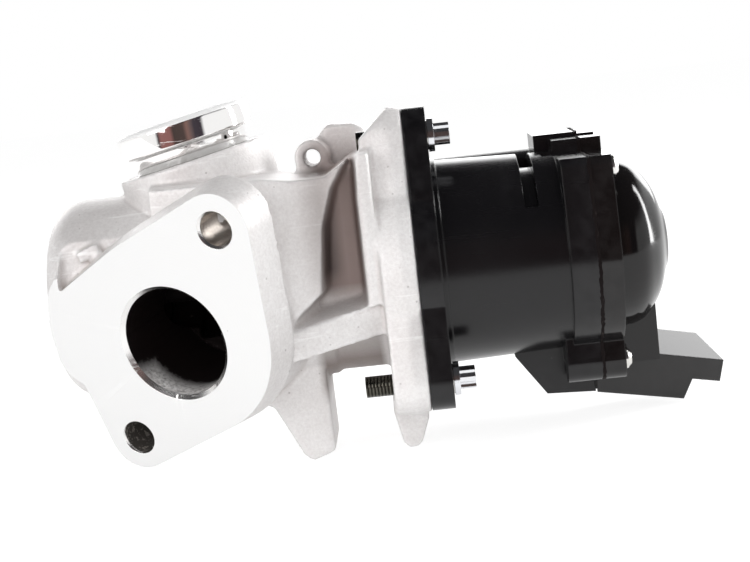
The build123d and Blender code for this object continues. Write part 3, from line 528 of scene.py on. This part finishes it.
plastics = {
    "black_plastic": plastic(
        "satin black plastic", (0.0028, 0.0025, 0.0032), (0.0048, 0.0044, 0.0052), 0.24, 0.008),
    "black_gloss_plastic": plastic(
        "gloss black plastic", (0.0032, 0.0025, 0.0027), (0.0056, 0.0045, 0.0046), 0.11, 0.002),
    "dark_rubber": plastic(
        "dark rubber", (0.014, 0.014, 0.014), (0.024, 0.023, 0.022), 0.62, 0.02),
    "gear_plastic": plastic(
        "gear plastic", (0.60, 0.57, 0.50), (0.70, 0.67, 0.60), 0.42, 0.008, 0.15),
    "brush_plastic": plastic(
        "brush holder plastic", (0.10, 0.045, 0.03), (0.15, 0.07, 0.045), 0.48, 0.015, 0.2),
    "circuit_board": plastic(
        "circuit board", (0.02, 0.10, 0.045), (0.03, 0.14, 0.06), 0.30, 0.01, 0.1),
}
print("plastics:", len(plastics))

# %% [markdown]
# ## Finish: the flange bolts
# The bolts are plated, and their tips, which stick out behind the casting's plate, are near black.
# The thread there is a wave along the bolt that colours the metal and lifts a ridge at each
# pitch. Head and tip are one solid, so the finish changes at a place along the bolt.

# %% Bolt finish
TIP_START = -8.0
TIP_FULL = -8.6


def bolt_steel():
    material, tree, shader, height = surface("plated bolt", 0.12, 0.12, Metallic=1.0)
    hairs = place_group(tree, marks, Scratch_size=80.0, Dust=0.6)
    where = object_place(tree)
    tail = remap(tree, axes_of(tree, where)["X"], JOINT_X + TIP_START * MM, JOINT_X + TIP_FULL * MM)
    thread = add(tree, "ShaderNodeTexWave", bands_direction="X", Scale=390.0, Distortion=0.6, Detail=1.0)
    join(tree, where, thread.inputs["Vector"])
    ridges = thread.outputs["Fac"]
    plated = blend_colours(tree, hairs["Haze"], (0.62, 0.63, 0.66), (0.80, 0.81, 0.83))
    dark_tip = blend_colours(tree, ridges, (0.010, 0.009, 0.007), (0.10, 0.095, 0.08))
    join(tree, blend_colours(tree, tail, plated, dark_tip), shader["Base Color"])
    join(tree, remap(tree, hairs["Scratch"], 0.0, 1.0, 0.16, 0.30), shader["Roughness"])
    join(tree, maths(tree, "MULTIPLY", ridges, tail), height)
    return material


bolt_finish = bolt_steel()
print("material:", bolt_finish.name)

# %% [markdown]
# ## Dress the solids
# The record names a finish for each solid. The CAD objects stay where they are, and only the
# material in their slots changes. What the gas touches is sooted instead, and the bolts get their
# own finish.

# %% Assign finishes
GAS_SIDE = ("valve_seat", "poppet", "stem_bush", "stem_seal")
finishes = {"cast_aluminium": casting_finish, "machined_aluminium": machined_finish, **steels, **plastics}
slot_of = {part["node"]: part["material_slot"] for part in frame["record"]["subparts"]}
for name, solid in nodes.items():
    solid.data.materials.clear()
    solid.data.materials.append(bore_finish if name.startswith(GAS_SIDE) else finishes[slot_of[name]])
nodes["flange_bolts"].data.materials[0] = bolt_finish
print("dressed", len(nodes), "solids with", len(finishes), "finishes")

# %% [markdown]
# ## Mesh helpers
# A new piece is a mesh that rides on a body and names the finish that it takes. Turned shapes are
# drawn as half a profile and swept round an axis. The copy of a solid has its doubled points
# joined, because a CAD mesh comes face by face.

# %% Mesh helpers
WELD = 0.002 * MM


def finished_mesh(work, name):
    """Plain mesh of a work mesh, which is freed."""
    mesh = bpy.data.meshes.new(name)
    work.to_mesh(mesh)
    work.free()
    return mesh


def welded(node):
    """Work mesh of a solid with the doubled points of its edges joined."""
    work = bmesh.new()
    work.from_mesh(nodes[node].data)
    bmesh.ops.remove_doubles(work, verts=work.verts, dist=WELD)
    return work


def shown(name, mesh):
    """Object that shows a mesh, or carries a lamp."""
    piece = bpy.data.objects.new(name, mesh)
    bpy.context.collection.objects.link(piece)
    return piece


def new_piece(name, mesh, material, body):
    """Object that shows a mesh, rides on a body and takes a slot's finish."""
    piece = shown(name, mesh)
    mesh.materials.clear()
    mesh.materials.append(material)
    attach(piece, body)
    return piece


def apply_modifiers(piece):
    """Bake a piece's modifiers into its mesh."""
    ready = bpy.data.meshes.new_from_object(
        piece.evaluated_get(bpy.context.evaluated_depsgraph_get()))
    piece.modifiers.clear()
    piece.data = ready


def lathe(name, profile, axis_point, axis, segments=160):
    """Closed turned mesh.

    The profile lists (along, radius) in millimetres. It starts and ends on the axis, or it closes
    to a ring.
    """
    direction = axis.normalized()
    side = direction.orthogonal().normalized()
    other = direction.cross(side)
    angles = [2 * pi * k / segments for k in range(segments)]
    work = bmesh.new()
    rings = []
    for along, radius in profile:
        centre = axis_point + direction * (along * MM)
        if radius == 0:
            rings.append([work.verts.new(centre)])
        else:
            rings.append([
                work.verts.new(centre + (side * cos(angle) + other * sin(angle)) * radius * MM)
                for angle in angles])
    for low, high in zip(rings, rings[1:] if len(rings[0]) == 1 else rings[1:] + rings[:1]):
        for k in range(segments):
            n = (k + 1) % segments
            if len(low) == 1 and len(high) == 1:
                continue
            if len(low) == 1:
                work.faces.new((low[0], high[n], high[k]))
            elif len(high) == 1:
                work.faces.new((low[k], low[n], high[0]))
            else:
                work.faces.new((low[k], low[n], high[n], high[k]))
    bmesh.ops.recalc_face_normals(work, faces=work.faces)
    return finished_mesh(work, name)


print("mesh helpers ready")

# %% [markdown]
# ## The casting
# A die casting has a radius on every edge, and its walls run into each other in soft fillets. The
# CAD solid has the right walls with sharp corners. Turning it into a fine voxel skin and relaxing
# that skin rounds all of them at once. The inlet face is given some stock first, as a real casting
# has, because it is machined afterwards.

# %% Voxel skin of the casting
VOXEL = 0.55 * MM
FACE_STOCK = 1.6 * MM
FACE_FLAT = 0.03 * MM
FACE_REACH = 45 * MM
casting = shown("casting", finished_mesh(welded("valve_body"), "casting"))
for point in casting.data.vertices:
    offset = point.co - INLET_FACE
    if abs(offset.dot(INLET_OUT)) < FACE_FLAT and offset.length < FACE_REACH:
        point.co += INLET_OUT * FACE_STOCK
remesh = casting.modifiers.new("voxels", "REMESH")
remesh.mode = "VOXEL"
remesh.voxel_size = VOXEL
relax = casting.modifiers.new("relax", "SMOOTH")
relax.factor = 0.6
relax.iterations = 3
apply_modifiers(casting)
print("casting skin:", len(casting.data.polygons), "faces")

# %% [markdown]
# ## Machine the casting
# The relaxed skin has also rounded the sealing face and the bores. Cutters that stand for the mill
# and the drills now take the stock off again: a disc that ends on the face, a chamfered plug for
# the bore, a stepped one for the end cap, a spot facer for the spigot, a tap and a drill for the
# two flange holes. Every edge that they leave is crisp, just as on the real part.

# %% Machined places
mounts = {mount["name"]: mount for mount in frame["record"]["mounts"]}
BORE_R = mounts["inlet_bore"]["dims"]["r_mm"]
STUD_HOLE = Vector(mounts["inlet_stud_hole"]["pos_m"])
STUD_HOLE_R = mounts["inlet_stud_hole"]["dims"]["r_mm"]
BOLT_HOLE = Vector(mounts["inlet_bolt_hole"]["pos_m"])
BOLT_HOLE_R = mounts["inlet_bolt_hole"]["dims"]["r_mm"]
CLEAN_UP = 0.25
BORE_DEEP = 24.8
MOUTH_BEVEL = 1.0
HOLE_BEVEL = 0.6
THREAD_PITCH = 1.25
THREAD_DEPTH = 0.35
THREAD_TURNS = 13
BARREL_END = -88.5
CAP_SEAT_R = 15.7
CAP_R = 14.5
CAP_DEEP = 4.9
SPOT_R = 16.8
SPOT_DEEP = 0.15
bore_r = BORE_R + CLEAN_UP
bolt_hole_r = BOLT_HOLE_R + CLEAN_UP
thread = []
for turn_number in range(THREAD_TURNS):
    start = HOLE_BEVEL + turn_number * THREAD_PITCH
    thread += [(start, STUD_HOLE_R), (start + THREAD_PITCH / 2, STUD_HOLE_R - THREAD_DEPTH)]
cutters = [
    lathe("mill", [(-6, 0), (-6, 46), (0, 46), (0, 0)], INLET_FACE, inward, 64),
    lathe("bore cutter",
          [(-3, 0), (-3, 15.0), (0, 14.25), (MOUTH_BEVEL, bore_r), (BORE_DEEP, bore_r), (BORE_DEEP, 0)],
          INLET_FACE, inward),
    lathe("cap seat",
          [(-1.5, 0), (-1.5, CAP_SEAT_R), (0.5, CAP_SEAT_R), (0.5, CAP_R), (CAP_DEEP, CAP_R), (CAP_DEEP, 0)],
          on_stem(BARREL_END), ALONG_STEM),
    lathe("spot facer",
          [(-SPOT_DEEP, 0), (-SPOT_DEEP, SPOT_R), (0.6, 17.2), (4.0, 17.2), (4.0, 0)],
          OUTLET_CENTRE, OUTLET_UP),
    lathe("stud drill",
          [(-3, 0), (-3, 4.5), (0, 4.5), *thread, (16.9, STUD_HOLE_R), (18.6, 0)],
          STUD_HOLE, inward, 64),
    lathe("bolt drill",
          [(-3, 0), (-3, 4.3), (0, 4.3), (HOLE_BEVEL, bolt_hole_r), (20, bolt_hole_r), (20, 0)],
          BOLT_HOLE, inward, 64),
]
for mesh in cutters:
    cutter = shown(mesh.name, mesh)
    cut = casting.modifiers.new(mesh.name, "BOOLEAN")
    cut.operation = "DIFFERENCE"
    cut.solver = "MANIFOLD"
    cut.object = cutter
    apply_modifiers(casting)
    bpy.data.objects.remove(cutter)
print("machined casting:", len(casting.data.polygons), "faces")

# %% [markdown]
# ## Finish of each place
# The cutters leave new faces, and each takes the finish of its place: white where the mill ran,
# soot where the gas goes, bright on the cut bevels. A face's place is read from how deep it lies
# along an axis and how far it is from it. Milled faces are shaded flat, and the skin smooth.

# %% Finish of the machined places
# The drilled hole's finish is painted shade.
FINISH_OF = {
    "skin": casting_finish, "machined": machined_finish, "sooted": bore_finish, "drilled": painted_shade_hole_finish,
    "inlet bore": mouth_finish, "cut edge": steels["cut_edge"], "tapped": steels["tapped"]}
PLACES = list(FINISH_OF)
BORE_WALL = 1.4       # how far past the bore's radius a face still belongs to the gas way
GAS_DEPTH = (5, 40)   # from the inlet face to the far wall of the mixing room
GAS_END = -24         # where the gas ways end, along the stem
GAS_REACH = 15.4
WELL_R = 13.2         # the spigot's well, and the duct under it
WELL_DEPTH = -30
HOLE_WALL = 0.8
HOLE_DEPTH = 21
casting.data.materials.clear()
for finish in FINISH_OF.values():
    casting.data.materials.append(finish)


def off_line(point, start, direction):
    """Distance along a line and away from it, in millimetres."""
    along = (point - start).dot(direction)
    return along / MM, (point - start - direction * along).length / MM


def casting_place(face):
    """The place that a face of the casting belongs to."""
    depth, off_bore = off_line(face.center, INLET_FACE, inward)
    facing = face.normal.dot(INLET_OUT)
    if abs(depth) < 0.02 and facing > 0.99 and off_bore < FACE_REACH / MM:
        return "machined"
    if off_bore < BORE_R + BORE_WALL:
        if 0 < depth < BORE_DEEP + 0.1 and abs(facing) < 0.8:
            return "cut edge" if depth < MOUTH_BEVEL else "inlet bore"
        if GAS_DEPTH[0] < depth < GAS_DEPTH[1]:
            return "sooted"
    for hole, radius, inside in ((STUD_HOLE, STUD_HOLE_R, "tapped"), (BOLT_HOLE, BOLT_HOLE_R, "drilled")):
        depth, off_hole = off_line(face.center, hole, inward)
        away = face.center - hole - inward * depth * MM
        if 0 < depth < HOLE_DEPTH and off_hole < radius + HOLE_WALL and face.normal.dot(away) <= 0:
            return "cut edge" if depth < HOLE_BEVEL else inside
    along, off_stem = off_line(face.center, on_stem(0), ALONG_STEM)
    away = (face.center - on_stem(along)).normalized()
    if along < BARREL_END + CAP_DEEP + 0.2 and off_stem < CAP_SEAT_R + 0.05:
        return "machined"
    if along < GAS_END and off_stem < GAS_REACH and face.normal.dot(away) < 0.35:
        return "sooted"
    height, off_outlet = off_line(face.center, OUTLET_CENTRE, OUTLET_UP)
    if abs(height + SPOT_DEEP) < 0.01 and off_outlet < SPOT_R + 0.1:
        return "machined"
    if WELL_DEPTH < height < -0.2 and off_outlet < WELL_R:
        return "sooted"
    return "skin"


casting.data.shade_smooth()
for face in casting.data.polygons:
    face.material_index = PLACES.index(casting_place(face))
    face.use_smooth = PLACES[face.material_index] != "machined"
casting.data.set_sharp_from_angle(angle=radians(38))
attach(casting, "housing")
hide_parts("valve_body")
print("faces by place:", Counter(PLACES[face.material_index] for face in casting.data.polygons))

# %% [markdown]
# ## The outlet spigot
# The spigot is turned from bright steel and pressed into the casting. Its rounded collar holds a
# hose. A turned part is a profile swept round an axis, so the mesh is a lathe of its drawing, with
# a small radius at every corner: a mirror finish shows a flat spot or a sharp corner at once.

# %% Outlet spigot
SPIGOT = [
    (-5.0, 11.5), (10.0, 11.5), (10.25, 11.6), (10.4, 11.9), (10.4, 15.0), (10.3, 15.5), (10.0, 15.95),
    (9.6, 16.22), (9.2, 16.36), (8.8, 16.4), (4.7, 16.4), (4.4, 16.35), (4.2, 16.2), (4.0, 15.95),
    (3.95, 15.4), (3.9, 14.5), (3.75, 14.28), (3.5, 14.2), (0.1, 14.2), (0.0, 14.1), (0.0, 12.88),
    (-5.0, 12.88)]
SATIN_INSIDE_R = 11.7
SATIN_ABOVE = 9.3
spigot_mesh = lathe("spigot", SPIGOT, OUTLET_CENTRE, OUTLET_UP)
spigot = new_piece("spigot", spigot_mesh, steels["polished_steel"], "housing")
spigot_mesh.materials.append(machined_finish)
for face in spigot_mesh.polygons:
    height, off_outlet = off_line(face.center, OUTLET_CENTRE, OUTLET_UP)
    face.material_index = 1 if off_outlet < SATIN_INSIDE_R or height > SATIN_ABOVE else 0
spigot_mesh.shade_smooth()
spigot_mesh.set_sharp_from_angle(angle=radians(50))
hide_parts("outlet_spigot")
print("spigot:", len(spigot_mesh.polygons), "faces")

# %% [markdown]
# ## The return spring
# The spring pushes the poppet shut and sits round the stem, between the housing and a washer on
# the stem. When the valve opens, the washer comes down and the coils close up. A copy of the
# solid, with its own mesh, takes its place and keeps the solid's length.

# %% Return spring
spring_slot = slot_of["return_spring"]
spring = new_piece("closing_spring", finished_mesh(welded("return_spring"), "coil"),
                   finishes[spring_slot], "housing")
spring.data.shade_smooth()
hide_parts("return_spring")
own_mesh(spring)
print("closing spring:", len(spring.data.polygons), "faces")

# %% [markdown]
# ## The seam of the drive
# Housing and cover meet in one plane, and the glue between them shows as a ragged black line all
# round. Its path is the outline of the housing where it ends, which a cut through the solid gives.
# A narrow bead follows it, and small seeded shifts make it ragged. A set of edges has no order of
# its own, so the walk round the outline starts at the edge with the lowest coordinates. The same
# start gives the same bead each time.

# %% Seam bead
SEAM_X = 42.0
BEAD_WIDE = 0.75
BEAD_PROUD = 0.07
BEAD_DEEP = 0.5
BEAD_STEP = 0.8


def outline_at(node, x):
    """Longest closed outline of a solid in the plane x, in metres."""
    work = welded(node)
    cut = bmesh.ops.bisect_plane(
        work, geom=work.verts[:] + work.edges[:] + work.faces[:], plane_co=(x, 0, 0), plane_no=(1, 0, 0))
    edges = {item for item in cut["geom_cut"] if isinstance(item, bmesh.types.BMEdge)}
    loops = []
    while edges:
        edge = min(edges, key=lambda one: (*one.verts[0].co, *one.verts[1].co))
        edges.remove(edge)
        chain = [edge.verts[0], edge.verts[1]]
        while chain[-1] is not chain[0]:
            following = next((e for e in chain[-1].link_edges if e in edges), None)
            if following is None:
                break
            edges.remove(following)
            chain.append(following.other_vert(chain[-1]))
        loops.append([point.co.copy() for point in chain])
    work.free()
    return max(loops, key=lambda loop: sum((a - b).length for a, b in zip(loop, loop[1:])))


def evenly(loop, step):
    """Points a step apart along a closed line."""
    points = []
    carried = 0.0
    for start, end in zip(loop, loop[1:]):
        length = (end - start).length
        while carried < length:
            points.append(start.lerp(end, carried / length))
            carried += step
        carried -= length
    return points


def bead(name, path, x, material):
    """Ragged closed bead along a path in the plane x."""
    rough = Random(7)
    work = bmesh.new()
    rows = []
    for before, here, after in zip(path[-1:] + path[:-1], path, path[1:] + path[:1]):
        outward = (after - before).cross(ALONG_STEM).normalized()
        if outward.dot(here - Vector((x, STEM_Y, STEM_Z))) < 0:
            outward = -outward
        middle = x + rough.uniform(-0.10, 0.10) * MM
        half = BEAD_WIDE / 2 * rough.uniform(0.7, 1.4) * MM
        rows.append([
            work.verts.new((middle + side * half, *(here + outward * lift * MM).yz))
            for side, lift in ((-1, -BEAD_DEEP), (-1, BEAD_PROUD), (1, BEAD_PROUD), (1, -BEAD_DEEP))])
    for row, following in zip(rows, rows[1:] + rows[:1]):
        for k in range(4):
            n = (k + 1) % 4
            work.faces.new((row[k], row[n], following[n], following[k]))
    bmesh.ops.recalc_face_normals(work, faces=work.faces)
    return new_piece(name, finished_mesh(work, name), material, "housing")


seam_x = JOINT_X + SEAM_X * MM
seam_path = evenly(outline_at("actuator_housing", seam_x - 0.05 * MM), BEAD_STEP * MM)
bead("seam_bead", seam_path, seam_x, bore_finish)
print("seam bead:", len(seam_path), "points")

# %% [markdown]
# ## The tongue of the connector
# Between the housing's skirt and the connector a moulded tongue closes the slit that would let
# water in. It is a small slab with rounded edges, and it touches both.

# %% Tongue of the connector
TONGUE = (Vector((96.3, 26.0, -27.2)) * MM, Vector((99.2, 40.0, -20.0)) * MM)
TONGUE_EDGE = 0.3 * MM
work = bmesh.new()
bmesh.ops.create_cube(work, size=1.0)
for point in work.verts:
    point.co = (TONGUE[0] + TONGUE[1]) / 2 + (TONGUE[1] - TONGUE[0]) * point.co
bmesh.ops.bevel(work, geom=work.edges[:], offset=TONGUE_EDGE, segments=3, affect="EDGES")
new_piece("skirt_tongue", finished_mesh(work, "skirt_tongue"), plastics["black_plastic"],
          "housing")
print("tongue closes the slit between skirt and connector")

# %% [markdown]
# ## The stand
# The part is shown on a white table in an even white room. The table is a plain sheet at the
# height of the lowest corner. Its own light lifts it to white for the eye and for reflections, and
# its diffuse share keeps the soft shadow.

# %% Table
TABLE_GLOW = 0.80
THIN_PAINT = (0.46, 0.46, 0.46)
FULL_PAINT = (0.80, 0.80, 0.80)
REACH = 3.0          # metres, to each side and to the back
FRONT_EDGE = -0.20
low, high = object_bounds()
table_z = low[2]
corners = [(-REACH, FRONT_EDGE), (REACH, FRONT_EDGE), (REACH, REACH), (-REACH, REACH)]
table_mesh = bpy.data.meshes.new("table")
table_mesh.from_pydata([(x, y, table_z) for x, y in corners], [], [(0, 1, 2, 3)])
table = shown("table", table_mesh)
white = bpy.data.materials.new("white table")
white.use_nodes = True
tree = white.node_tree
tree.nodes.clear()
ray = add(tree, "ShaderNodeLightPath").outputs
seen = maths(tree, "MAXIMUM", ray["Is Camera Ray"], ray["Is Glossy Ray"])
seen = maths(tree, "MAXIMUM", seen, ray["Is Transmission Ray"])
lift = add(tree, "ShaderNodeEmission", Strength=TABLE_GLOW)
thin_paint = add(tree, "ShaderNodeBsdfDiffuse", Color=THIN_PAINT + (1.0,))
paint = add(tree, "ShaderNodeBsdfDiffuse", Color=FULL_PAINT + (1.0,))
shown_white = add(tree, "ShaderNodeAddShader")
join(tree, lift.outputs["Emission"], shown_white.inputs[0])
join(tree, thin_paint.outputs["BSDF"], shown_white.inputs[1])
both = add(tree, "ShaderNodeMixShader")
join(tree, seen, both.inputs["Fac"])
join(tree, paint.outputs["BSDF"], both.inputs[1])
join(tree, shown_white.outputs["Shader"], both.inputs[2])
join(tree, both.outputs["Shader"], add(tree, "ShaderNodeOutputMaterial").inputs["Surface"])
table_mesh.materials.append(white)
print("table at", round(table_z / MM, 1), "mm")

# %% [markdown]
# ## The room
# A part like this is shot in a light tent, which is white all round. Polished metal also mirrors
# the camera and the dark room behind it, so for glossy rays the room has a dark ceiling, and a row
# of dark and warm bands across the side that the camera stands on.

# %% World
SKY = 0.42
WHITE = (1.0, 1.0, 1.0)
CEILING = (0.05, 0.05, 0.052)
ROOM = [
    (0.02, WHITE), (0.06, (0.06, 0.05, 0.055)), (0.11, (0.30, 0.14, 0.13)),
    (0.30, (0.28, 0.13, 0.12)), (0.37, (0.075, 0.055, 0.05)), (0.58, (0.085, 0.06, 0.055)),
    (0.66, (0.24, 0.14, 0.12)), (0.74, (0.14, 0.10, 0.10)), (0.80, (0.06, 0.05, 0.06)),
    (0.93, (0.05, 0.04, 0.05)), (0.98, WHITE)]
world = bpy.data.worlds.new("light tent")
bpy.context.scene.world = world
world.use_nodes = True
tree = world.node_tree
tree.nodes.clear()
ray = add(tree, "ShaderNodeLightPath").outputs
axes = axes_of(tree, add(tree, "ShaderNodeTexCoord").outputs["Generated"])
room = add(tree, "ShaderNodeValToRGB")
for stop, (at, colour) in enumerate(ROOM):
    mark = room.color_ramp.elements[stop] if stop < 2 else room.color_ramp.elements.new(at)
    mark.position = at
    mark.color = colour + (1.0,)
join(tree, remap(tree, axes["X"], -0.70, 0.70), room.inputs["Fac"])
behind_camera = remap(tree, axes["Y"], -0.30, -0.10, 1.0, 0.0)
walls = blend_colours(tree, behind_camera, WHITE, room.outputs["Color"])
mirrored = blend_colours(tree, remap(tree, axes["Z"], 0.30, 0.55), walls, CEILING)
light = blend_colours(tree, ray["Is Glossy Ray"], (SKY, SKY, SKY), mirrored)
seen = maths(tree, "MAXIMUM", ray["Is Camera Ray"], ray["Is Transmission Ray"])
backdrop = add(tree, "ShaderNodeBackground", Strength=1.0)
join(tree, blend_colours(tree, seen, light, WHITE), backdrop.inputs["Color"])
join(tree, backdrop.outputs["Background"], add(tree, "ShaderNodeOutputWorld").inputs["Surface"])
print("world:", world.name)

# %% [markdown]
# ## The lamps
# A wide low strip behind draws the long highlight on the black drive, and a box in front lights
# the inlet face. A fill and a weak top box soften the shadows, and a narrow strip at the right
# draws the rim of the dome. The back strip is only for mirrors, so it doesn't burn out the
# casting, and the top box and the fill aren't mirrored.

# %% Lamps
def soft_box(name, place, width, height, watts):
    """Rectangular lamp that is aimed at the middle of the part."""
    data = bpy.data.lights.new(name, "AREA")
    data.shape = "RECTANGLE"
    data.size = width
    data.size_y = height
    data.energy = watts
    lamp = shown(name, data)
    lamp.location = place
    lamp.visible_camera = False
    lamp.rotation_euler = (MIDDLE - Vector(place)).to_track_quat("-Z", "Y").to_euler()
    return lamp


MIDDLE = Vector([(a + b) / 2 for a, b in zip(low, high)])
back_wall = soft_box("back wall", (0.05, 0.60, 0.20), 1.00, 0.30, 2.8)
back_wall.visible_diffuse = False
top_box = soft_box("top box", (0.02, 0.14, 0.66), 0.60, 0.40, 1.0)
top_box.visible_glossy = False
soft_box("front box", (-0.50, -0.58, 0.26), 0.50, 0.50, 2.2)
fill = soft_box("fill", (0.12, -0.72, 0.24), 0.50, 0.40, 2.6)
fill.visible_glossy = False
soft_box("right strip", (0.60, 0.17, 0.20), 0.09, 0.60, 2.6)
print("lamps aim at", [round(v, 3) for v in MIDDLE])

# %% [markdown]
# ## Finish
# The picture is shown as rendered, with the plain view transform.

# %% Wrap up
bpy.context.scene.view_settings.view_transform = "Standard"
